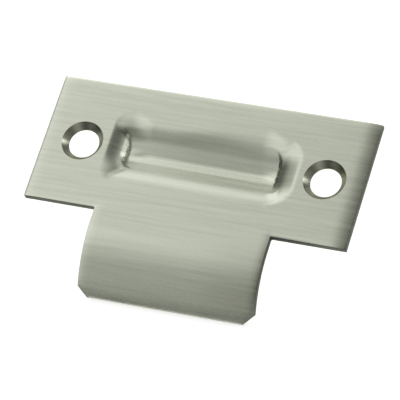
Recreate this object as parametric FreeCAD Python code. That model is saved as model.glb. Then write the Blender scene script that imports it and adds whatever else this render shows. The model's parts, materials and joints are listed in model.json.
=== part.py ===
"""Strike plate for a roller latch, stamped and folded from one sheet.

The plate lies in the XY plane: X runs along its length and the lip points to -Y.
Z = 0 is the back face, which is screwed to the door frame, and the front face looks to +Z.
The origin is on the back face, midway between the two screw holes. Sizes are millimetres.
"""

import FreeCAD, Part
import math
import os

INCH = 25.4

# The flat plate
PLATE_LENGTH = 2.75 * INCH
PLATE_WIDTH = 1.125 * INCH
SHEET_THICKNESS = INCH / 16
EDGE_ROUND = 0.25

# The lip: a straight run past the plate's edge, then a bend away from the front
LIP_WIDTH = 1.5 * INCH
LIP_STRAIGHT = 2.84
LIP_BEND_RADIUS = 20.0
LIP_BEND_ANGLE = 47.0
LIP_CORNER_CHAMFER = 2.2
LIP_ROOT_RADIUS = 0.4

# The two countersunk screw holes, in line along the plate
SCREW_SPACING = 53.0
SCREW_HOLE_DIAMETER = 6.5
COUNTERSINK_DIAMETER = 8.95
COUNTERSINK_ANGLE = 82.0

# The roller trough, pressed back from the front face. Across the plate it is a blunt V: from its
# nose each side goes up a shallow facet, then a steeper wall, and rolls out to the face over a
# shoulder. The far side is the one away from the lip, and the near side has a shorter facet.
TROUGH_NOSE_RADIUS = 0.6
FACET_ANGLE = 21.5
FACET_CORNER_RADIUS = 3.0
FAR_FACET_RUN = 2.5
FAR_WALL_ANGLE = 37.0
FAR_SHOULDER_RADIUS = 9.0
NEAR_FACET_RUN = 1.5
NEAR_WALL_ANGLE = 30.0
NEAR_SHOULDER_RADIUS = 6.0

# The ends of the pocket roll down from a mouth with round corners, to the trough's floor.
# The pressed sides meet the flat face at a small tilt.
POCKET_LENGTH = 42.2
MOUTH_WIDTH = 19.6
MOUTH_CORNER_RADIUS = 6.0
END_ROLL_RADIUS = 5.0
RIM_TILT = 3.0

# Worked out from the sizes above
FRONT = SHEET_THICKNESS
HALF_LENGTH = PLATE_LENGTH / 2
HALF_WIDTH = PLATE_WIDTH / 2
CUT_MARGIN = 1.0
RIM_LIFT = END_ROLL_RADIUS * (1 - math.cos(math.radians(RIM_TILT)))
RIM_SHIFT = END_ROLL_RADIUS * math.sin(math.radians(RIM_TILT))


def trace(moves, behind=0.0):
    """Draw one side of the trough's section, from its nose up to the rim and a little beyond.

    A run goes straight on, by a distance across the plate. A cup is an arc that steepens to a tilt,
    and a roll is one that flattens, both with their radius on the front. A line drawn behind the
    front has its radii larger or smaller by that much. The result is the (middle, end) of each move
    as (y, height) from the nose, where a run has no middle."""
    y, height, tilt = 0.0, 0.0, 0.0
    line = []
    for kind, size, goal in moves:
        if kind == "run":
            y, height, middle = y + size, height + size * math.tan(tilt), None
        else:
            radius = size + behind if kind == "cup" else behind - size
            goal = math.radians(goal)
            halfway = (tilt + goal) / 2
            middle = (
                y + radius * (math.sin(halfway) - math.sin(tilt)),
                height + radius * (math.cos(tilt) - math.cos(halfway)),
            )
            y += radius * (math.sin(goal) - math.sin(tilt))
            height += radius * (math.cos(tilt) - math.cos(goal))
            tilt = goal
        line.append((middle, (y, height)))
    return line


def side_moves(facet_run, wall_angle, shoulder_radius, wall_run=0.0):
    """The moves of one side: nose, facet, corner, wall, shoulder, and a run out over the face."""
    wall = [("run", wall_run, None)] if wall_run > 0.0 else []
    return [
        ("cup", TROUGH_NOSE_RADIUS, FACET_ANGLE),
        ("run", facet_run, None),
        ("cup", FACET_CORNER_RADIUS, wall_angle),
        *wall,
        ("roll", shoulder_radius, RIM_TILT),
        ("run", 2 * CUT_MARGIN, None),
    ]


def rim(moves):
    """How far the rim of a side lies out from the nose, and over it."""
    return trace(moves)[-2][1]


def trough_sides():
    """The far and the near side. The near wall is as long as it takes to come up to the same rim."""
    far = side_moves(FAR_FACET_RUN, FAR_WALL_ANGLE, FAR_SHOULDER_RADIUS)
    near = side_moves(NEAR_FACET_RUN, NEAR_WALL_ANGLE, NEAR_SHOULDER_RADIUS)
    missing = rim(far)[1] - rim(near)[1]
    wall_run = missing / math.tan(math.radians(NEAR_WALL_ANGLE))
    return far, side_moves(NEAR_FACET_RUN, NEAR_WALL_ANGLE, NEAR_SHOULDER_RADIUS, wall_run)


FAR_SIDE, NEAR_SIDE = trough_sides()
TROUGH_DEPTH = rim(FAR_SIDE)[1]
MOUTH_MIDDLE = (rim(FAR_SIDE)[0] - rim(NEAR_SIDE)[0]) / 2


def trough(behind, top):
    """All that lies over the trough's section, up to a height and past both ends of the pocket."""
    floor = FRONT - behind - TROUGH_DEPTH
    x = -POCKET_LENGTH / 2 - CUT_MARGIN

    def half(moves, side):
        edges = []
        start = FreeCAD.Vector(x, 0, floor)
        for middle, end in trace(moves, behind):
            end = FreeCAD.Vector(x, side * end[0], floor + end[1])
            if middle is None:
                edges.append(Part.LineSegment(start, end).toShape())
            else:
                middle = FreeCAD.Vector(x, side * middle[0], floor + middle[1])
                edges.append(Part.Arc(start, middle, end).toShape())
            start = end
        return edges, start

    far, far_out = half(FAR_SIDE, 1)
    near, near_out = half(NEAR_SIDE, -1)
    far_top = FreeCAD.Vector(x, far_out.y, top)
    near_top = FreeCAD.Vector(x, near_out.y, top)
    closing = [
        Part.LineSegment(far_out, far_top).toShape(),
        Part.LineSegment(far_top, near_top).toShape(),
        Part.LineSegment(near_top, near_out).toShape(),
    ]
    outline = Part.Wire(far + closing + near[::-1])
    return Part.Face(outline).extrude(FreeCAD.Vector(-2 * x, 0, 0))


def surround(behind):
    """All that lies around the pocket's mouth. Its edge is rolled, and the trough's ends follow it."""
    level = FRONT + RIM_LIFT - behind
    roll = END_ROLL_RADIUS - behind
    low = level - END_ROLL_RADIUS - CUT_MARGIN

    def block(length, width, bottom, height):
        corner = FreeCAD.Vector(-length / 2, MOUTH_MIDDLE - width / 2, bottom)
        return Part.makeBox(length, width, height, corner)

    narrower = 2 * (roll - RIM_SHIFT)
    opening = block(POCKET_LENGTH - narrower, MOUTH_WIDTH - narrower, low - CUT_MARGIN, 3 * END_ROLL_RADIUS)
    upright = [edge for edge in opening.Edges if abs(edge.tangentAt(edge.FirstParameter).z) > 0.5]
    opening = opening.makeFillet(MOUTH_CORNER_RADIUS - narrower / 2, upright)
    solid = block(PLATE_LENGTH, 2 * PLATE_WIDTH, low, level - low).cut(opening)

    def is_mouth(edge):
        middle = edge.CenterOfMass
        inside = abs(middle.x) < POCKET_LENGTH / 2 and abs(middle.y - MOUTH_MIDDLE) < MOUTH_WIDTH / 2
        return inside and abs(middle.z - level) < 1e-6

    return solid.makeFillet(roll, [edge for edge in solid.Edges if is_mouth(edge)])


def pocket(behind, top):
    """The pressed shape, at the front or behind it: a trough that its rolled ends cut short."""
    return trough(behind, top).cut(surround(behind))


def lip():
    """The tongue below the plate: straight at first, then rolled back round the door frame's corner."""
    root_y = -HALF_WIDTH
    bend_y = root_y - LIP_STRAIGHT
    axis_z = FRONT - LIP_BEND_RADIUS

    def on_bend(radius, degrees):
        angle = math.radians(degrees)
        return FreeCAD.Vector(0, bend_y - radius * math.sin(angle), axis_z + radius * math.cos(angle))

    outer, inner = LIP_BEND_RADIUS, LIP_BEND_RADIUS - SHEET_THICKNESS
    front_root = FreeCAD.Vector(0, root_y, FRONT)
    back_root = FreeCAD.Vector(0, root_y, 0)
    half_bend = LIP_BEND_ANGLE / 2
    outline = Part.Wire([
        Part.LineSegment(front_root, on_bend(outer, 0)).toShape(),
        Part.Arc(on_bend(outer, 0), on_bend(outer, half_bend), on_bend(outer, LIP_BEND_ANGLE)).toShape(),
        Part.LineSegment(on_bend(outer, LIP_BEND_ANGLE), on_bend(inner, LIP_BEND_ANGLE)).toShape(),
        Part.Arc(on_bend(inner, LIP_BEND_ANGLE), on_bend(inner, half_bend), on_bend(inner, 0)).toShape(),
        Part.LineSegment(on_bend(inner, 0), back_root).toShape(),
        Part.LineSegment(back_root, front_root).toShape(),
    ])
    tongue = Part.Face(outline).extrude(FreeCAD.Vector(LIP_WIDTH, 0, 0))
    tongue.translate(FreeCAD.Vector(-LIP_WIDTH / 2, 0, 0))
    end_corners = [edge for edge in tongue.Edges if is_lip_corner(edge)]
    return tongue.makeChamfer(LIP_CORNER_CHAMFER, end_corners)


def is_lip_corner(edge):
    """True for the two short edges through the sheet at the lip's free end."""
    middle = edge.CenterOfMass
    at_side = abs(abs(middle.x) - LIP_WIDTH / 2) < 1e-6
    return at_side and edge.Length < SHEET_THICKNESS * 1.01 and middle.z < 0


def is_root_corner(edge):
    """True for the two upright edges where the lip leaves the plate."""
    middle = edge.CenterOfMass
    at_root = abs(middle.y + HALF_WIDTH) < 1e-6
    return at_root and abs(abs(middle.x) - LIP_WIDTH / 2) < 1e-6 and len(edge.Vertexes) == 2


def blank():
    """The flat plate and its lip, with rounded front edges."""
    corner = FreeCAD.Vector(-HALF_LENGTH, -HALF_WIDTH, 0)
    plate = Part.makeBox(PLATE_LENGTH, PLATE_WIDTH, SHEET_THICKNESS, corner)
    sheet = plate.fuse(lip()).removeSplitter()
    sheet = sheet.makeFillet(LIP_ROOT_RADIUS, [edge for edge in sheet.Edges if is_root_corner(edge)])
    front_face = max(sheet.Faces, key=lambda face: face.CenterOfMass.z * face.Area)
    return sheet.makeFillet(EDGE_ROUND, [edge for edge in front_face.Edges if is_outline(edge)])


def is_outline(edge):
    """True for the edges of the front face that lie on the plate's outline, and not at the lip's bend."""
    return abs(edge.CenterOfMass.y + HALF_WIDTH + LIP_STRAIGHT) > 1e-6


def screw_hole(x):
    """Tool for one countersunk hole: a short cylinder that opens into a cone at the front."""
    slope = math.tan(math.radians(COUNTERSINK_ANGLE / 2))
    cone_depth = (COUNTERSINK_DIAMETER - SCREW_HOLE_DIAMETER) / 2 / slope
    shank = Part.makeCylinder(
        SCREW_HOLE_DIAMETER / 2,
        SHEET_THICKNESS + 2 * CUT_MARGIN,
        FreeCAD.Vector(x, 0, -CUT_MARGIN),
    )
    head = Part.makeCone(
        SCREW_HOLE_DIAMETER / 2,
        COUNTERSINK_DIAMETER / 2 + CUT_MARGIN * slope,
        cone_depth + CUT_MARGIN,
        FreeCAD.Vector(x, 0, FRONT - cone_depth),
    )
    return shank.fuse(head)


def strike_plate():
    boss = pocket(SHEET_THICKNESS, FRONT / 2)
    cavity = pocket(0.0, FRONT + CUT_MARGIN)
    plate = blank().fuse(boss).cut(cavity)
    for side in (-1, 1):
        plate = plate.cut(screw_hole(side * SCREW_SPACING / 2))
    return plate.removeSplitter()


os.makedirs("parts", exist_ok=True)
strike_plate().exportStep("parts/strike_plate.step")
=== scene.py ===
import json
import math

import bmesh
import bpy
import numpy as np
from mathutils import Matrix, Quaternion, Vector


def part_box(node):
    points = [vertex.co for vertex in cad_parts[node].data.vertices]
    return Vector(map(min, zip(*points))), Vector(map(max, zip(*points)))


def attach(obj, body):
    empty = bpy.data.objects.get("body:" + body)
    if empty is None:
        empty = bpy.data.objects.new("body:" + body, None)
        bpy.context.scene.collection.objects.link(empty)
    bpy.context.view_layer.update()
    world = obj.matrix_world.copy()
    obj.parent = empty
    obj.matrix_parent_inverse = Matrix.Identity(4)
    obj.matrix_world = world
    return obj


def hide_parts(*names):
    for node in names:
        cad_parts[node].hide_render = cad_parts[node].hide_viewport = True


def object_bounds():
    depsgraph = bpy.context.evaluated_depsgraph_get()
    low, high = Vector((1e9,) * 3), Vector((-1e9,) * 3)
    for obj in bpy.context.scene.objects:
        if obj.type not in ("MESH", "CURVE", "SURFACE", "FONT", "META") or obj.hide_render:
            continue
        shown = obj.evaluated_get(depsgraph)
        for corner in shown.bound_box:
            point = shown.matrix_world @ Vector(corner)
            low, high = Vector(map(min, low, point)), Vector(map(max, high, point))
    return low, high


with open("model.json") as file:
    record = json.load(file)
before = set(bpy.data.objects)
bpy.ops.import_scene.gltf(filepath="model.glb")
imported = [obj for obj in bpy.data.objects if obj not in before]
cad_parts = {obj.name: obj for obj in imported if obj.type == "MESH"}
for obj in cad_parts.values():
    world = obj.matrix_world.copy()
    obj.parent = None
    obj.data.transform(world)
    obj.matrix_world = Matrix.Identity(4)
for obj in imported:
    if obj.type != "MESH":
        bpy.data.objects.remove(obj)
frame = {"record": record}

cad_low, cad_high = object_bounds()
scene = bpy.context.scene
scene.view_settings.view_transform = "Standard"

MM = 0.001

# Points closer together than this are taken to be at one place
NEARLY = 1e-6

# The flat sheet, from the solid's box and its record. X runs along the plate, and the lip points to -Y,
# which is the near side.
_, plate_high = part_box("strike_plate")
screws = frame["record"]["mounts"][0]["dims"]
THICKNESS = plate_high.z
HALF_LENGTH = plate_high.x
HALF_WIDTH = plate_high.y

# The two countersunk screw holes. The tool that cuts them goes past the sheet by the spare, and it is
# turned a little, so that no corner of it lies on a grid line.
SCREW_X = screws["spacing_x_mm"] * MM / 2
HOLE_RADIUS = screws["hole_r_mm"] * MM
COUNTERSINK_RADIUS = 4.475 * MM
COUNTERSINK_SLOPE = math.tan(math.radians(41.0))
HOLE_SIDES = 128
HOLE_TURN = 0.011
HOLE_SPARE = 1.0 * MM

# The lip: a straight run past the plate's near edge, then a bend away from the front
LIP_HALF_WIDTH = 19.05 * MM
LIP_STRAIGHT = 2.84 * MM
LIP_BEND_RADIUS = 20.0 * MM
LIP_BEND_ANGLE = math.radians(47.0)
LIP_CORNER = 2.2 * MM
BEND_Y = -HALF_WIDTH - LIP_STRAIGHT
BEND_Z = THICKNESS - LIP_BEND_RADIUS
LIP_END = BEND_Y - LIP_BEND_RADIUS * LIP_BEND_ANGLE

# The mesh: cells of the blank, a line close to each edge, and finer cells in the pocket and its folds.
# Edges over the sharp angle are rounded, and faces that meet under the smooth angle are shaded as one.
CELLS_ALONG = 70
CELLS_ACROSS = 28
BEND_STEPS = 22
EDGE_LINE = 0.4 * MM
CUT_TOLERANCE = 1e-7
POCKET_AREA = (22.4 * MM, 10.2 * MM)
POCKET_CUTS = 3
FOLD_AREA = (13.6 * MM, 18.6 * MM, 5.4 * MM)
FOLD_CUTS = 1
SHARP_ANGLE = 0.6
SMOOTH_ANGLE = math.radians(38.0)

# Edges, rounded in front and nearly sharp behind: a radius, and the facets that make it
CORNER_ROUND = (0.15 * MM, 3)
ROOT_ROUND = (0.35 * MM, 4)
FRONT_ROUND = (0.16 * MM, 3)
BACK_ROUND = (0.06 * MM, 2)

# How far in from each side of the blank its front is rolled off by the die, and how deep at the edge
ROLL_OFF = {
    "right": (3.4 * MM, 0.36 * MM),
    "left": (2.0 * MM, 0.1 * MM),
    "far": (2.5 * MM, 0.2 * MM),
    "near": (1.3 * MM, 0.09 * MM),
}
ROLL_OFF_POWER = 2.2

# How far in from its right side the lip sags, and how deep at the edge
LIP_SAG = (14.0 * MM, 0.3 * MM)
LIP_SAG_POWER = 2

# Marks at the edges: pale wear all round, a line of painted shade along the left edge, and painted shade
# on the sheared edge at the lip's right root, each full at the first distance and gone at the second. The
# sheared edge is the strip this close to the outline.
WORN_EDGE = (0.0, 0.5 * MM)
LEFT_SHADE_LINE = (0.17 * MM, 0.4 * MM)
ROOT_SHADE = (1.0 * MM, 13.0 * MM)
EDGE_STRIP = 0.02 * MM

# The pressed pocket, in mm and degrees. A section goes in from the rim by arcs with a radius and an end
# tilt, which roll over to a steeper tilt or cup to a flatter one, and by straight runs.
TROUGH_FAR = [("roll", 9.0, 37.0), ("cup", 3.0, 21.5), ("run", 2.5), ("cup", 0.6, 0.0)]
TROUGH_NEAR = [("roll", 8.0, 30.0), ("run", 2.315), ("cup", 3.0, 21.5), ("run", 1.5), ("cup", 0.6, 0.0)]
TROUGH_MIDDLE = 0.05

# A run long enough to go on past the floor, and the tightest roll on the back of the sheet
PAST_FLOOR = ("run", 50.0)
TIGHTEST_BACK = 0.8

# How the trough changes along the plate: where a change starts, where it is complete, and how much it is.
# Towards the ends the crease in the floor gets a larger radius. Outside its foot, the far wall starts
# wide and is drawn in to the left, bulges out again before the left end and closes at the right one.
CREASE_FADE = (12.5, 16.2)
CREASE_RADIUS = 4.0
FAR_FOOT = 3.4
FAR_WIDER = 0.8
FAR_DRAWN_IN = (12.0, -8.0, 2.7)
FAR_BULGE = (-12.5, -17.5, 2.1)
FAR_CLOSE = (11.5, 17.0, 2.0)

# Shares of its depth that the trough loses: the far wall at the left end, from one distance out to
# another, the whole left half, and the floor's lift at the right fold
FAR_RUN_OUT = (-13.0, -20.8, 0.9)
FAR_RUN_OUT_SIDE = (2.4, 5.0)
LEFT_SHALLOWER = (13.0, -14.0, 0.14)
RIGHT_LIFT = (11.5, 16.5, 0.04)

# Each end of the pocket. A ramp goes in from a rim with round corners, and from "step_at" a step goes on
# down to the trough. Both are full near the ridge and fade at its sides, where the sheet falls gently
# instead, by a slope and a bend on the far and the near side. The fold at the trough is rounded by "blend"
# where it is shallow and by "fold" where it is deep, and its last entry says how strongly shade is painted
# into its colour.
LEFT_END = {
    "rim": 20.8,
    "half_width": 8.0,
    "corner": 3.0,
    "ramp": [("roll", 1.2, 13.0), ("roll", 8.0, 26.0), ("roll", 3.6, 46.0), PAST_FLOOR],
    "step_at": 3.5,
    "step": [("roll", 0.4, 40.0), PAST_FLOOR],
    "ridge": 1.1,
    "fade": (1.5, 6.2),
    "far_side": (0.04, 0.03),
    "near_side": (0.015, 0.03),
    "blend": 1.2,
    "fold": 0.2,
    "blend_depth": (0.9, 2.0),
    "painted_shade": 1.0,
}
RIGHT_END = {
    "rim": 20.9,
    "half_width": 7.6,
    "corner": 4.8,
    "ramp": [("roll", 3.0, 17.0), ("roll", 30.0, 20.0), ("roll", 12.0, 27.0), PAST_FLOOR],
    "step_at": 4.5,
    "step": [("roll", 0.8, 70.0), PAST_FLOOR],
    "ridge": -0.3,
    "fade": (1.4, 6.0),
    "far_side": (0.11, 0.005),
    "near_side": (0.05, 0.03),
    "blend": 0.9,
    "fold": 0.35,
    "blend_depth": (0.8, 1.5),
    "painted_shade": 0.2,
}

# The fold's rounding on the back of the sheet, and the least rounding anywhere
BACK_BLEND = 1.0
LEAST_BLEND = 1e-6

# The step's line is crinkled by waves with a height, a rate and a start. Painted shade in the fold
# begins this deep down the step, ends this deep past the trough, and needs this share of the ramp's
# fullness.
FOLD_RIPPLE = ((0.05, 4.3, 0.4), (0.04, 9.7, 1.9))
FOLD_START = (0.0, 0.3)
FOLD_FOOT = (0.4, 1.4)
FOLD_SIDE = (0.3, 0.7)

# The three finishes. Streaks make a colour lighter or darker, and painted shade darkens it by the share in
# "darkening". Scratches and clouds are how often the grain repeats along each direction.
SATIN_NICKEL = {
    "colour": (0.60, 0.625, 0.53, 1.0),
    "darkening": 0.5,
    "roughness": 0.28,
    "anisotropy": 0.6,
    "bump": 0.04,
    "scratches": (5.0, 160.0, 1.0),
    "clouds": (14.0, 40.0, 1.0),
}
# The countersinks' dark colour is painted shade for the hollow of each hole; their turned scratches are
# their own.
TURNED_COUNTERSINK = {
    "colour": (0.30, 0.305, 0.245, 1.0),
    "darkening": 0.0,
    "roughness": 0.2,
    "anisotropy": 0.75,
    "bump": 0.12,
    "scratches": (1.4, 9000.0, 1.0),
    "clouds": (1.6, 1500.0, 1.0),
}
# A brownish tint on the countersinks' reflection, painted shade for the hollow of each hole.
COUNTERSINK_TINT = (0.3, 0.31, 0.26, 1.0)
# The sheared edge's very dark colour is painted shade, standing in for the shaded floor the edges mirror;
# its roughness and scoring are its own.
SHEARED_EDGE = {
    "colour": (0.085, 0.09, 0.07, 1.0),
    "darkening": 0.8,
    "roughness": 0.5,
    "anisotropy": 0.0,
    "bump": 0.25,
    "scratches": (2600.0, 2600.0, 300.0),
    "clouds": (260.0, 260.0, 900.0),
}

# How deep the dents of a finish are at full strength, and the side of the blank's flat map
BUMP_DISTANCE = 0.3 * MM
FLAT_MAP_SIZE = 100.0 * MM

# Which faces are turned or sheared: those in a hole that aren't flat, and those across the thickness
HOLE_MARGIN = 0.1 * MM
FLAT_FACE = 0.9
EDGE_FACE = 0.55

# The camera, seen from what it looks at
CAMERA_AIM = Vector((2.4007, -8.9729, 1.5875)) * MM
CAMERA_AZIMUTH = math.radians(40.2311)
CAMERA_ELEVATION = math.radians(58.90798)
CAMERA_ROLL = math.radians(26.45739)
CAMERA_DISTANCE = 605.745 * MM
CAMERA_LENS = 269.683
CAMERA_SENSOR = 36.0
CAMERA_CLIP = (0.05, 20.0)

# The pale floor
FLOOR_SIZE = 3.0
FLOOR_COLOUR = (0.85, 0.85, 0.85, 1.0)
FLOOR_GLOW = 0.75

# The studio's broad lights: towards which side each is, how tight it is, and how bright
STUDIO_LIGHTS = {
    "high left": ((-0.49, 0.13, 0.86), 12.6, 1.18),
    "far left": ((-0.49, 0.72, 0.49), 19.4, 1.50),
    "low right": ((0.90, 0.42, 0.08), 3.4, 0.62),
    "small lamp at the right": ((0.80, 0.59, 0.14), 70.0, 4.0),
    "near left": ((-0.57, -0.58, 0.58), 11.5, 0.74),
    "far side": ((0.12, 0.97, 0.23), 8.9, 0.72),
    "near right": ((0.50, -0.82, 0.27), 10.0, 0.8),
}

# The colour of the room's light, where no lamp is
ROOM_TINT = (0.98, 1.0, 0.9)


def take(piece):
    """Select one object alone and make it the active one."""
    bpy.ops.object.select_all(action="DESELECT")
    piece.select_set(True)
    bpy.context.view_layer.objects.active = piece


def pick(piece, kind, wanted):
    """In edit mode, select the edges or faces that pass a test, and nothing else."""
    modes = {"edges": "EDGE", "faces": "FACE"}
    bpy.ops.mesh.select_mode(type=modes[kind])
    bpy.ops.mesh.select_all(action="DESELECT")
    mesh = bmesh.from_edit_mesh(piece.data)
    for part in getattr(mesh, kind):
        part.select_set(bool(wanted(part)))
    mesh.select_flush_mode()
    bmesh.update_edit_mesh(piece.data)


def middle(part):
    """The centre of an edge or a face."""
    total = Vector()
    for vert in part.verts:
        total += vert.co
    return total / len(part.verts)


def cut_line(point, normal):
    """Cut all of the sheet along a plane, in edit mode."""
    bpy.ops.mesh.select_mode(type="FACE")
    bpy.ops.mesh.select_all(action="SELECT")
    bpy.ops.mesh.bisect(plane_co=point, plane_no=normal, threshold=CUT_TOLERANCE)


def apply_modifier(piece, kind, **settings):
    """Put a modifier on a piece and apply it."""
    take(piece)
    modifier = piece.modifiers.new(kind.lower(), kind)
    for name, value in settings.items():
        setattr(modifier, name, value)
    bpy.ops.object.modifier_apply(modifier=modifier.name)


def flat_place(point):
    """Where a point of the bent sheet lies on the flat blank: along, across, and height over the back."""
    if point.y > BEND_Y:
        return point.x, point.y, point.z
    turn = math.atan2(BEND_Y - point.y, point.z - BEND_Z)
    radius = math.hypot(BEND_Y - point.y, point.z - BEND_Z)
    return point.x, BEND_Y - LIP_BEND_RADIUS * turn, radius - LIP_BEND_RADIUS + THICKNESS


def draw_lip(sheet):
    """Draw the lip out of the plate's near edge: its straight run, and then its bend."""

    def at_root(edge):
        return all(
            abs(vert.co.y + HALF_WIDTH) < NEARLY and abs(vert.co.x) < LIP_HALF_WIDTH + NEARLY
            for vert in edge.verts
        )

    pick(sheet, "edges", at_root)
    bpy.ops.mesh.extrude_edges_move(TRANSFORM_OT_translate={"value": (0, -LIP_STRAIGHT, 0)})
    bpy.ops.mesh.spin(
        steps=BEND_STEPS,
        angle=-LIP_BEND_ANGLE,
        center=(0, BEND_Y, BEND_Z),
        axis=(1, 0, 0),
    )


def clip_lip_corners(sheet):
    """Cut both corners off the lip's end."""
    tangent = Vector((0, -math.cos(LIP_BEND_ANGLE), -math.sin(LIP_BEND_ANGLE)))
    lip_end = Vector((
        0,
        BEND_Y - LIP_BEND_RADIUS * math.sin(LIP_BEND_ANGLE),
        BEND_Z + LIP_BEND_RADIUS * math.cos(LIP_BEND_ANGLE),
    ))
    for side in (-1, 1):

        def at_corner(face):
            centre = middle(face)
            beside = side * centre.x > LIP_HALF_WIDTH - 2 * LIP_CORNER
            return beside and (centre - lip_end).dot(tangent) > -2 * LIP_CORNER

        along = Vector((side, 0, 0))
        pick(sheet, "faces", at_corner)
        bpy.ops.mesh.bisect(
            plane_co=lip_end + along * (LIP_HALF_WIDTH - LIP_CORNER),
            plane_no=(along + tangent).normalized(),
            threshold=CUT_TOLERANCE,
            clear_outer=True,
        )


def divide_pocket(sheet):
    """Give the pocket finer cells, and its folds finer ones still."""
    reach_x, reach_y = POCKET_AREA
    inner, outer, across = FOLD_AREA

    def in_pocket(face):
        centre = middle(face)
        return abs(centre.x) < reach_x and abs(centre.y) < reach_y

    def at_fold(face):
        centre = middle(face)
        return inner < abs(centre.x) < outer and abs(centre.y) < across

    pick(sheet, "faces", in_pocket)
    bpy.ops.mesh.subdivide(number_cuts=POCKET_CUTS)
    pick(sheet, "faces", at_fold)
    bpy.ops.mesh.subdivide(number_cuts=FOLD_CUTS)


def face_forward(sheet):
    """Turn all faces to the front."""
    bpy.ops.mesh.select_all(action="SELECT")
    bpy.ops.mesh.normals_make_consistent(inside=False)
    mesh = bmesh.from_edit_mesh(sheet.data)
    if sum(face.normal.z * face.calc_area() for face in mesh.faces) < 0:
        bpy.ops.mesh.flip_normals()


def front_face():
    """The sheet's front: the plate as a grid, and the lip drawn out of it."""
    bpy.ops.object.select_all(action="DESELECT")
    bpy.ops.mesh.primitive_grid_add(
        x_subdivisions=CELLS_ALONG,
        y_subdivisions=CELLS_ACROSS,
        size=2.0,
        location=(0, 0, THICKNESS),
    )
    sheet = bpy.context.object
    sheet.name = "brushed_strike_plate"
    sheet.data.name = "brushed_strike_plate"
    bpy.ops.transform.resize(value=(HALF_LENGTH, HALF_WIDTH, 1.0))
    bpy.ops.object.transform_apply(location=True, rotation=True, scale=True)

    bpy.ops.object.mode_set(mode="EDIT")
    for x in (HALF_LENGTH - EDGE_LINE, LIP_HALF_WIDTH, LIP_HALF_WIDTH - EDGE_LINE):
        for side in (-1, 1):
            cut_line((side * x, 0, 0), (1, 0, 0))
    for y in (HALF_WIDTH - EDGE_LINE, -HALF_WIDTH + EDGE_LINE):
        cut_line((0, y, 0), (0, 1, 0))
    draw_lip(sheet)
    clip_lip_corners(sheet)
    divide_pocket(sheet)
    face_forward(sheet)
    bpy.ops.object.mode_set(mode="OBJECT")
    return sheet


def round_edges(sheet):
    """Round the outline: its upright corners, then the front edges, and the back edges a little."""

    def is_sharp(edge):
        return len(edge.link_faces) == 2 and edge.calc_face_angle() > SHARP_ANGLE

    def heights(edge):
        return [flat_place(vert.co)[2] for vert in edge.verts]

    def is_upright(edge):
        return is_sharp(edge) and abs(heights(edge)[0] - heights(edge)[1]) > THICKNESS / 2

    def at_root(edge):
        centre = middle(edge)
        return max(abs(centre.y + HALF_WIDTH), abs(abs(centre.x) - LIP_HALF_WIDTH)) < 10 * NEARLY

    take(sheet)
    bpy.ops.object.mode_set(mode="EDIT")
    for (radius, facets), wanted in (
        (CORNER_ROUND, lambda edge: is_upright(edge) and not at_root(edge)),
        (ROOT_ROUND, lambda edge: is_upright(edge) and at_root(edge)),
        (FRONT_ROUND, lambda edge: is_sharp(edge) and min(heights(edge)) > THICKNESS - NEARLY),
        (BACK_ROUND, lambda edge: is_sharp(edge) and max(heights(edge)) < NEARLY),
    ):
        pick(sheet, "edges", wanted)
        bpy.ops.mesh.bevel(offset=radius, segments=facets, affect="EDGES", clamp_overlap=True)
    bpy.ops.object.mode_set(mode="OBJECT")


def screw_hole_tool():
    """A countersunk screw's shape, drawn up from a disc: shank, then head."""
    cone_depth = (COUNTERSINK_RADIUS - HOLE_RADIUS) / COUNTERSINK_SLOPE
    rings = [
        (THICKNESS - cone_depth, HOLE_RADIUS),
        (THICKNESS + HOLE_SPARE, COUNTERSINK_RADIUS + HOLE_SPARE * COUNTERSINK_SLOPE),
    ]
    bpy.ops.object.select_all(action="DESELECT")
    bpy.ops.mesh.primitive_circle_add(
        vertices=HOLE_SIDES,
        radius=HOLE_RADIUS,
        fill_type="NGON",
        location=(0, 0, -HOLE_SPARE),
        rotation=(0, 0, HOLE_TURN),
    )
    tool = bpy.context.object
    bpy.ops.object.transform_apply(location=True, rotation=True, scale=True)
    bpy.ops.object.mode_set(mode="EDIT")
    bpy.ops.mesh.select_all(action="SELECT")
    height, radius = -HOLE_SPARE, HOLE_RADIUS
    for next_height, next_radius in rings:
        bpy.ops.mesh.extrude_region_move(TRANSFORM_OT_translate={"value": (0, 0, next_height - height)})
        widening = next_radius / radius
        bpy.ops.transform.resize(value=(widening, widening, 1.0))
        height, radius = next_height, next_radius
    bpy.ops.mesh.select_all(action="SELECT")
    bpy.ops.mesh.normals_make_consistent(inside=False)
    bpy.ops.object.mode_set(mode="OBJECT")
    return tool


def drill(sheet):
    """Cut both countersunk holes."""
    tool = screw_hole_tool()
    tool.location.x = SCREW_X
    second = tool.copy()
    second.data = tool.data.copy()
    scene.collection.objects.link(second)
    second.location.x = -SCREW_X
    bpy.context.view_layer.update()
    for cutter in (tool, second):
        apply_modifier(sheet, "BOOLEAN", operation="DIFFERENCE", solver="EXACT", object=cutter)
        bpy.data.objects.remove(cutter)


def share_of(start, end, value):
    """How far a value has come from a start to an end, from 0 to 1."""
    return np.clip((value - start) / (end - start), 0.0, 1.0)


def smooth_step(start, end, value):
    """The same, but setting off and arriving gently."""
    share = share_of(start, end, value)
    return share * share * (3.0 - 2.0 * share)


def change_at(x, change):
    """How much of a change along the plate there is at a place."""
    start, end, amount = change
    return amount * smooth_step(start, end, x)


def softer_of(first, second, blend):
    """The smaller of two depths, with the crease between them rounded."""
    gap = np.clip(0.5 + 0.5 * (second - first) / blend, 0.0, 1.0)
    return second + (first - second) * gap - blend * gap * (1.0 - gap)


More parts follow.
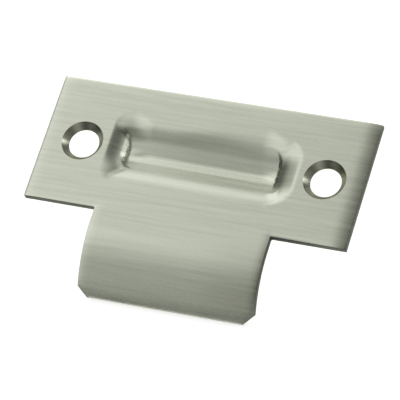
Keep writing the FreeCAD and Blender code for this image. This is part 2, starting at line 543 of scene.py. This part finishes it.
def section_depth(run, moves, behind=0.0):
    """Depth below the rim along a pressed section, at a run in from the rim.

    A roll is an arc that steepens, a cup one that flattens. Behind the front by the sheet's
    thickness, a roll's radius is that much smaller and a cup's that much larger."""
    depth = np.zeros_like(run)
    start, base, tilt = 0.0, 0.0, 0.0
    for kind, size, *goal in moves:
        if kind == "run":
            length = size
            gain = np.clip(run - start, 0.0, length) * math.tan(tilt)
            total = length * math.tan(tilt)
        else:
            radius = max(size - behind, min(size, TIGHTEST_BACK)) if kind == "roll" else size + behind
            sign = 1.0 if kind == "roll" else -1.0
            end = math.radians(goal[0])
            length = radius * abs(math.sin(end) - math.sin(tilt))
            here = np.clip(run - start, 0.0, length)
            sine = np.clip(math.sin(tilt) + sign * here / radius, -1.0, 1.0)
            gain = sign * radius * (math.cos(tilt) - np.sqrt(1.0 - sine ** 2))
            total = sign * radius * (math.cos(tilt) - math.cos(end))
            tilt = end
        depth = np.where(run > start, base + gain, depth)
        start += length
        base += total
    return depth


def section_run(moves):
    """How far in from the rim a pressed section goes."""
    total, tilt = 0.0, 0.0
    for kind, size, *goal in moves:
        if kind == "run":
            total += size
        else:
            end = math.radians(goal[0])
            total += size * abs(math.sin(end) - math.sin(tilt))
            tilt = end
    return total


def blunted(moves, radius):
    """The same side of the trough with a rounder nose, and as wide as before."""
    *sides, (_, run), (_, nose, flat) = moves
    tilt = math.radians(sides[-1][2])
    return sides + [("run", run - (radius - nose) * math.sin(tilt)), ("cup", radius, flat)]


def trough_depth(x, across, behind):
    """Depth of the trough. Its crease fades at the ends, and it is shallower and narrower at the left."""
    fade = smooth_step(*CREASE_FADE, np.abs(x))
    drawn_in = change_at(x, FAR_DRAWN_IN) + change_at(x, FAR_CLOSE) - change_at(x, FAR_BULGE) - FAR_WIDER
    depth = np.zeros_like(across)
    for side, moves, narrower in ((1.0, TROUGH_FAR, drawn_in), (-1.0, TROUGH_NEAR, 0.0)):
        half_width = section_run(moves)
        out = side * across
        squeeze = (half_width - FAR_FOOT) / (half_width - narrower - FAR_FOOT)
        out = np.where(out > FAR_FOOT, FAR_FOOT + (out - FAR_FOOT) * squeeze, out)
        sharp = section_depth(half_width - out, moves, behind)
        blunt = section_depth(half_width - out, blunted(moves, CREASE_RADIUS), behind)
        depth = np.where(side * across >= 0.0, sharp + (blunt - sharp) * fade, depth)
    depth = depth * (1.0 - change_at(x, FAR_RUN_OUT) * smooth_step(*FAR_RUN_OUT_SIDE, across))
    start, end, lift = RIGHT_LIFT
    depth = depth * (1.0 - lift * share_of(start, end, x) ** 2)
    return depth * (1.0 - change_at(x, LEFT_SHALLOWER))


def end_depth(x, across, end, behind):
    """Depth of an end: its ramp and step, and the gentler fall of the sheet beside them.

    The step's own share of the depth is given as well, for the shade painted in the fold. The sheet's back
    has no crinkles."""
    corner = end["corner"]
    past = np.clip(np.abs(across) - (end["half_width"] - corner), 0.0, corner)
    run = end["rim"] - corner + np.sqrt(corner ** 2 - past ** 2) - np.abs(x)
    ripple = 0.0
    if not behind:
        ripple = sum(size * np.sin(rate * across + start) for size, rate, start in FOLD_RIPPLE)
    ramp = section_depth(run, end["ramp"], behind)
    step = section_depth(run - end["step_at"] + ripple, end["step"], behind)
    inside = np.clip(run, 0.0, None)
    far, near = (inside * (slope + bend * inside) for slope, bend in (end["far_side"], end["near_side"]))
    beside = np.where(across > 0.0, far, near)
    full = 1.0 - smooth_step(*end["fade"], np.abs(across - end["ridge"]))
    return full * (ramp + step) + (1.0 - full) * beside, step * smooth_step(*FOLD_SIDE, full)


def pocket_depth(x, y, behind=0.0):
    """How deep the pocket is at a place on the plate: a trough that its two ends cut short.

    How strongly shade is painted into the folds at the steps is given as well, from 0 to 1."""
    across = y - TROUGH_MIDDLE
    trough = trough_depth(x, across, behind)
    pressed = np.zeros_like(trough)
    fold_shade = np.zeros_like(trough)
    for end, there in ((LEFT_END, x < 0.0), (RIGHT_END, x >= 0.0)):
        ramp, step = end_depth(x, across, end, behind)
        shallower = np.minimum(trough, ramp)
        blend = end["blend"] + (end["fold"] - end["blend"]) * smooth_step(*end["blend_depth"], shallower)
        if behind:
            blend = BACK_BLEND
        blend = np.maximum(np.minimum(blend, shallower), LEAST_BLEND)
        pressed = np.where(there, softer_of(trough, ramp, blend), pressed)
        # Painted shade: the fold below each step is darkened in colour, by the end's last entry.
        past_step = smooth_step(*FOLD_START, step) * (1.0 - smooth_step(*FOLD_FOOT, ramp - trough))
        fold_shade = np.where(there, end["painted_shade"] * past_step, fold_shade)
    return pressed, fold_shade


def outline_distances(u, v):
    """Distance in from each side of the blank's outline, on the flat sheet. The lip is all near side."""
    beside_lip = np.abs(u) - LIP_HALF_WIDTH
    to_root = np.hypot(np.maximum(v + HALF_WIDTH, 0.0), np.maximum(-beside_lip, 0.0))
    lip_foot = v - LIP_END
    lip_corner = (lip_foot - beside_lip - LIP_CORNER) / math.sqrt(2.0)
    on_lip = np.minimum(np.minimum(-beside_lip, lip_foot), lip_corner)
    return {
        "right": HALF_LENGTH - u,
        "left": HALF_LENGTH + u,
        "far": HALF_WIDTH - v,
        "near": np.where(v > -HALF_WIDTH, to_root, on_lip),
    }


def edge_fall(u, v, inward):
    """How far the front is rolled off at the blank's edges, and sags at the right of the lip."""
    fall = np.zeros_like(u)
    for side, (width, depth) in ROLL_OFF.items():
        fall += depth * share_of(width, 0.0, inward[side]) ** ROLL_OFF_POWER
    width, depth = LIP_SAG
    on_lip = smooth_step(HALF_WIDTH, HALF_WIDTH + width / 2, -v)
    return fall + depth * share_of(width, 0.0, LIP_HALF_WIDTH - u) ** LIP_SAG_POWER * on_lip


def edge_root_shade(u, v, inward):
    """How much shade is painted on the sheared edge, from 0 to 1: most at the lip's right root."""
    to_root = np.hypot(u - LIP_HALF_WIDTH, v + HALF_WIDTH)
    return np.where(inward["near"] < EDGE_STRIP, 1.0 - smooth_step(*ROOT_SHADE, to_root), 0.0)


def mark(sheet, name, values):
    """Keep a mask on the sheet's points, for its finishes to read."""
    sheet.data.attributes.new(name, "FLOAT", "POINT").data.foreach_set("value", values)


def form(sheet):
    """Press the blank: roll its front off at the edges, sink the pocket, and keep its map and marks."""
    verts = sheet.data.vertices
    places = np.array([flat_place(vert.co) for vert in verts])
    u, v, height = places.T
    share = np.clip(height / THICKNESS, 0.0, 1.0)
    inward = outline_distances(u, v)
    on_plate = v > -HALF_WIDTH

    points = np.empty(len(verts) * 3)
    verts.foreach_get("co", points)
    points = points.reshape(-1, 3)
    fall = edge_fall(u, v, inward) * share
    turn = np.clip((BEND_Y - v) / LIP_BEND_RADIUS, 0.0, None)
    points[:, 1] += fall * np.sin(turn)
    points[:, 2] -= fall * np.cos(turn)
    front, fold_shade = pocket_depth(u / MM, v / MM)
    back, _ = pocket_depth(u / MM, v / MM, THICKNESS / MM)
    points[:, 2] -= np.where(on_plate, back + (front - back) * share, 0.0) * MM
    points[:, 2] = np.maximum(points[:, 2], cad_low.z)
    verts.foreach_set("co", points.ravel())

    corners = np.empty(len(sheet.data.loops), dtype=np.int32)
    sheet.data.loops.foreach_get("vertex_index", corners)
    flat_map = sheet.data.uv_layers.new(name="flat_blank")
    flat_map.data.foreach_set("uv", (places[corners][:, :2] / FLAT_MAP_SIZE).ravel())
    to_edge = np.min(list(inward.values()), axis=0)
    mark(sheet, "worn_edge", 1.0 - share_of(*WORN_EDGE, to_edge))
    # A line of painted shade along the front of the left edge.
    left_shade_line = 1.0 - smooth_step(*LEFT_SHADE_LINE, inward["left"])
    # The mask of painted shade: the folds and the left edge's line on the front, and the lip's right root
    # on the sheared edge.
    on_front = np.maximum(np.where(on_plate, fold_shade, 0.0), left_shade_line) * share
    mark(sheet, "painted_shade_mask", np.maximum(on_front, edge_root_shade(u, v, inward)))
    sheet.data.update()


def add(tree, kind, sockets=None, **settings):
    """A new shader node, with its inputs set or linked by name or number."""
    made = tree.nodes.new("ShaderNode" + kind)
    for name, value in settings.items():
        setattr(made, name, value)
    for socket, value in (sockets or {}).items():
        if isinstance(value, bpy.types.NodeSocket):
            tree.links.new(value, made.inputs[socket])
        else:
            made.inputs[socket].default_value = value
    return made


def sums(tree, operation, *terms):
    """One step of arithmetic on values or on the outputs of other nodes."""
    return add(tree, "Math", dict(enumerate(terms)), operation=operation).outputs[0]


def product(tree, first, second):
    """Two vectors or colours multiplied part by part."""
    return add(tree, "VectorMath", {0: first, 1: second}, operation="MULTIPLY").outputs[0]


def weigh(tree, base, *masks):
    """A base value with masks added to it, each at its weight."""
    total = base
    for mask, weight in masks:
        total = sums(tree, "MULTIPLY_ADD", mask, weight, total)
    return total


def new_group(name, inputs, outputs):
    """A shader group with named sockets, and its two ends."""
    group = bpy.data.node_groups.new(name, "ShaderNodeTree")
    for in_out, sockets in (("INPUT", inputs), ("OUTPUT", outputs)):
        for socket, kind in sockets.items():
            group.interface.new_socket(name=socket, in_out=in_out, socket_type="NodeSocket" + kind)
    return group, group.nodes.new("NodeGroupInput"), group.nodes.new("NodeGroupOutput")


def brushed_grain():
    """Shared by all finishes: fine and coarse scratches one way, and the cloudy wear between them."""
    group, start, end = new_group(
        "brushed_grain",
        {"Place": "Vector", "Scratches": "Vector", "Clouds": "Vector"},
        {"Fine": "Float", "Coarse": "Float", "Cloud": "Float"},
    )
    scratched = product(group, start.outputs["Place"], start.outputs["Scratches"])
    clouded = product(group, start.outputs["Place"], start.outputs["Clouds"])
    for name, place, noise in (
        ("Fine", scratched, {"Scale": 2.7, "Detail": 3.0, "Roughness": 0.7}),
        ("Coarse", scratched, {"Scale": 0.8, "Detail": 2.0, "Roughness": 0.55}),
        ("Cloud", clouded, {"Scale": 1.0, "Detail": 3.0, "Roughness": 0.6}),
    ):
        texture = add(group, "TexNoise", {"Vector": place, **noise})
        centred = sums(group, "SUBTRACT", texture.outputs["Fac"], 0.5)
        group.links.new(centred, end.inputs[name])
    return group


def shaded_metal():
    """Shared by all finishes: a colour made lighter or darker by its streaks, and darker where shade is
    painted.
    """
    group, start, end = new_group(
        "shaded_metal",
        {"Colour": "Color", "Streaks": "Float", "Painted shade": "Float", "Darkening": "Float"},
        {"Colour": "Color"},
    )
    lighter = sums(group, "ADD", start.outputs["Streaks"], 1.0)
    darker = sums(group, "MULTIPLY", start.outputs["Painted shade"], start.outputs["Darkening"])
    shade = sums(group, "SUBTRACT", lighter, darker)
    group.links.new(product(group, start.outputs["Colour"], shade), end.inputs["Colour"])
    return group


def new_finish(name):
    """A new material, and its nodes."""
    material = bpy.data.materials.new(name)
    material.use_nodes = True
    return material, material.node_tree


def lay_grain(tree, groups, look, place):
    """The shared grain, laid on a finish at its own scale."""
    sockets = {"Place": place, "Scratches": look["scratches"], "Clouds": look["clouds"]}
    laid = add(tree, "Group", sockets, node_tree=groups["grain"])
    return laid.outputs["Fine"], laid.outputs["Coarse"], laid.outputs["Cloud"]


def lay_metal(tree, groups, look, streaks, roughness, dents, painted_shade=0.0):
    """Metal with a finish's own colour, streaked and darkened by painted shade, and its roughness and
    dents.
    """
    shader = tree.nodes["Principled BSDF"]
    shading = {
        "Colour": look["colour"],
        "Streaks": streaks,
        "Painted shade": painted_shade,
        "Darkening": look["darkening"],
    }
    colour = add(tree, "Group", shading, node_tree=groups["metal"])
    bump = add(tree, "Bump", {"Height": dents, "Strength": look["bump"], "Distance": BUMP_DISTANCE})
    tree.links.new(colour.outputs["Colour"], shader.inputs["Base Color"])
    tree.links.new(roughness, shader.inputs["Roughness"])
    tree.links.new(bump.outputs["Normal"], shader.inputs["Normal"])
    shader.inputs["Metallic"].default_value = 1.0
    shader.inputs["Anisotropic"].default_value = look["anisotropy"]
    return shader


def satin_nickel(groups):
    """Nickel plate over brushed steel: scratches along the plate, paler worn edges, painted shade in the
    folds and along the left edge.
    """
    look = SATIN_NICKEL
    material, tree = new_finish("satin_nickel")
    flat = add(tree, "UVMap", uv_map="flat_blank").outputs["UV"]
    worn = add(tree, "Attribute", attribute_name="worn_edge").outputs["Fac"]
    painted_shade = add(tree, "Attribute", attribute_name="painted_shade_mask").outputs["Fac"]
    fine, coarse, cloud = lay_grain(tree, groups, look, flat)
    scratches = weigh(tree, 0.0, (fine, 0.18), (coarse, 0.34))
    streaks = weigh(tree, scratches, (cloud, 0.06), (worn, 0.05))
    roughness = weigh(
        tree, look["roughness"], (scratches, 0.35), (cloud, 0.08), (worn, -0.06), (painted_shade, 0.12)
    )
    dents = weigh(tree, coarse, (fine, 0.6))
    shader = lay_metal(tree, groups, look, streaks, roughness, dents, painted_shade)
    across = add(tree, "CombineXYZ", {"Y": 1.0})
    tree.links.new(across.outputs["Vector"], shader.inputs["Tangent"])
    return material


def turned_countersink(groups):
    """The countersinks are turned: their scratches run round each hole. Their dark colour is painted
    shade.
    """
    look = TURNED_COUNTERSINK
    material, tree = new_finish("turned_countersink")
    place = add(tree, "SeparateXYZ", {0: add(tree, "TexCoord").outputs["Object"]}).outputs
    side = sums(tree, "SIGN", place["X"])
    x = sums(tree, "MULTIPLY_ADD", side, -SCREW_X, place["X"])
    outward = add(tree, "CombineXYZ", {"X": x, "Y": place["Y"]}).outputs["Vector"]
    radius = add(tree, "VectorMath", {0: outward}, operation="LENGTH").outputs["Value"]
    angle = sums(tree, "ARCTAN2", place["Y"], x)
    round_hole = add(tree, "CombineXYZ", {"X": angle, "Y": radius}).outputs["Vector"]
    fine, coarse, cloud = lay_grain(tree, groups, look, round_hole)
    scratches = weigh(tree, 0.0, (fine, 0.3), (coarse, 0.5))
    streaks = weigh(tree, scratches, (cloud, 0.15))
    roughness = weigh(tree, look["roughness"], (scratches, 0.3))
    shader = lay_metal(tree, groups, look, streaks, roughness, coarse)
    shader.inputs["Specular Tint"].default_value = COUNTERSINK_TINT
    tree.links.new(outward, shader.inputs["Tangent"])
    return material


def sheared_edge(groups):
    """The sheared edges are duller and scored through the sheet, and painted shade makes their colour
    dark.
    """
    look = SHEARED_EDGE
    material, tree = new_finish("sheared_edge")
    place = add(tree, "TexCoord").outputs["Object"]
    painted_shade = add(tree, "Attribute", attribute_name="painted_shade_mask").outputs["Fac"]
    fine, coarse, cloud = lay_grain(tree, groups, look, place)
    streaks = weigh(tree, 0.0, (coarse, 0.4), (cloud, 0.5))
    roughness = weigh(tree, look["roughness"], (fine, 0.2))
    lay_metal(tree, groups, look, streaks, roughness, coarse, painted_shade)
    return material


def finish_faces(sheet):
    """Brush the sheet, and give its countersinks the turned finish and its edges the sheared one."""
    groups = {"grain": brushed_grain(), "metal": shaded_metal()}
    sheet.data.materials.clear()
    for finish in (satin_nickel, turned_countersink, sheared_edge):
        sheet.data.materials.append(finish(groups))

    def in_hole(face):
        centre = middle(face)
        reach = math.hypot(abs(centre.x) - SCREW_X, centre.y)
        return reach < COUNTERSINK_RADIUS + HOLE_MARGIN and abs(face.normal.z) < FLAT_FACE

    def on_edge(face):
        _, v, _ = flat_place(middle(face))
        turn = max(0.0, (BEND_Y - v) / LIP_BEND_RADIUS)
        through = Vector((0, -math.sin(turn), math.cos(turn)))
        return abs(face.normal.dot(through)) < EDGE_FACE and not in_hole(face)

    take(sheet)
    bpy.ops.object.mode_set(mode="EDIT")
    for index, wanted in ((1, in_hole), (2, on_edge)):
        pick(sheet, "faces", wanted)
        sheet.active_material_index = index
        bpy.ops.object.material_slot_assign()
    bpy.ops.object.mode_set(mode="OBJECT")


def place_camera():
    """Stand where the photograph was taken from."""
    back = Vector((
        math.sin(CAMERA_AZIMUTH) * math.cos(CAMERA_ELEVATION),
        -math.cos(CAMERA_AZIMUTH) * math.cos(CAMERA_ELEVATION),
        math.sin(CAMERA_ELEVATION),
    ))
    lens = bpy.data.cameras.new("camera")
    lens.lens = CAMERA_LENS
    lens.sensor_width = CAMERA_SENSOR
    lens.clip_start, lens.clip_end = CAMERA_CLIP
    camera = bpy.data.objects.new("camera", lens)
    camera.rotation_mode = "QUATERNION"
    camera.rotation_quaternion = (-back).to_track_quat("-Z", "Y") @ Quaternion((0, 0, 1), -CAMERA_ROLL)
    camera.location = CAMERA_AIM + back * CAMERA_DISTANCE
    scene.collection.objects.link(camera)
    scene.camera = camera


def lay_floor():
    """A pale floor that clears to white where nothing shades it."""
    bpy.ops.object.select_all(action="DESELECT")
    bpy.ops.mesh.primitive_plane_add(size=FLOOR_SIZE, location=(0, 0, cad_low.z))
    floor = bpy.context.object
    floor.name = "floor"
    paint, tree = new_finish("pale_floor")
    tree.nodes.clear()
    path = add(tree, "LightPath").outputs
    mirrored = sums(tree, "MAXIMUM", path["Is Glossy Ray"], path["Is Transmission Ray"])
    seen = sums(tree, "MAXIMUM", path["Is Camera Ray"], mirrored)
    glow = add(tree, "Emission", {"Strength": sums(tree, "MULTIPLY", seen, FLOOR_GLOW)})
    matt = add(tree, "BsdfDiffuse", {"Color": FLOOR_COLOUR})
    both = add(tree, "AddShader", {0: matt.outputs[0], 1: glow.outputs[0]})
    add(tree, "OutputMaterial", {"Surface": both.outputs[0]})
    floor.data.materials.append(paint)


def light_studio():
    """Soft light from broad sources all round, whitest where it is brightest."""
    world = bpy.data.worlds.new("studio")
    scene.world = world
    world.use_nodes = True
    tree = world.node_tree
    background = tree.nodes["Background"]
    sky = add(tree, "TexCoord").outputs["Generated"]
    total = 0.0
    for direction, tightness, level in STUDIO_LIGHTS.values():
        towards = Vector(direction).normalized()
        facing = add(tree, "VectorMath", {0: sky, 1: towards}, operation="DOT_PRODUCT").outputs["Value"]
        away = sums(tree, "MULTIPLY", sums(tree, "SUBTRACT", facing, 1.0), tightness)
        total = sums(tree, "MULTIPLY_ADD", sums(tree, "EXPONENT", away), level, total)
    tree.links.new(total, background.inputs["Strength"])
    lamp = sums(tree, "MINIMUM", total, 1.0)
    to_white = [1.0 - part for part in ROOM_TINT]
    colour = add(tree, "VectorMath", {0: lamp, 1: to_white, 2: ROOM_TINT}, operation="MULTIPLY_ADD")
    tree.links.new(colour.outputs["Vector"], background.inputs["Color"])


sheet = front_face()
apply_modifier(sheet, "SOLIDIFY", thickness=THICKNESS, offset=-1.0, use_even_offset=True)
round_edges(sheet)
drill(sheet)
finish_faces(sheet)
form(sheet)
take(sheet)
bpy.ops.object.shade_smooth_by_angle(angle=SMOOTH_ANGLE)
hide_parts("strike_plate")
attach(sheet, "root")

place_camera()
lay_floor()
light_studio()
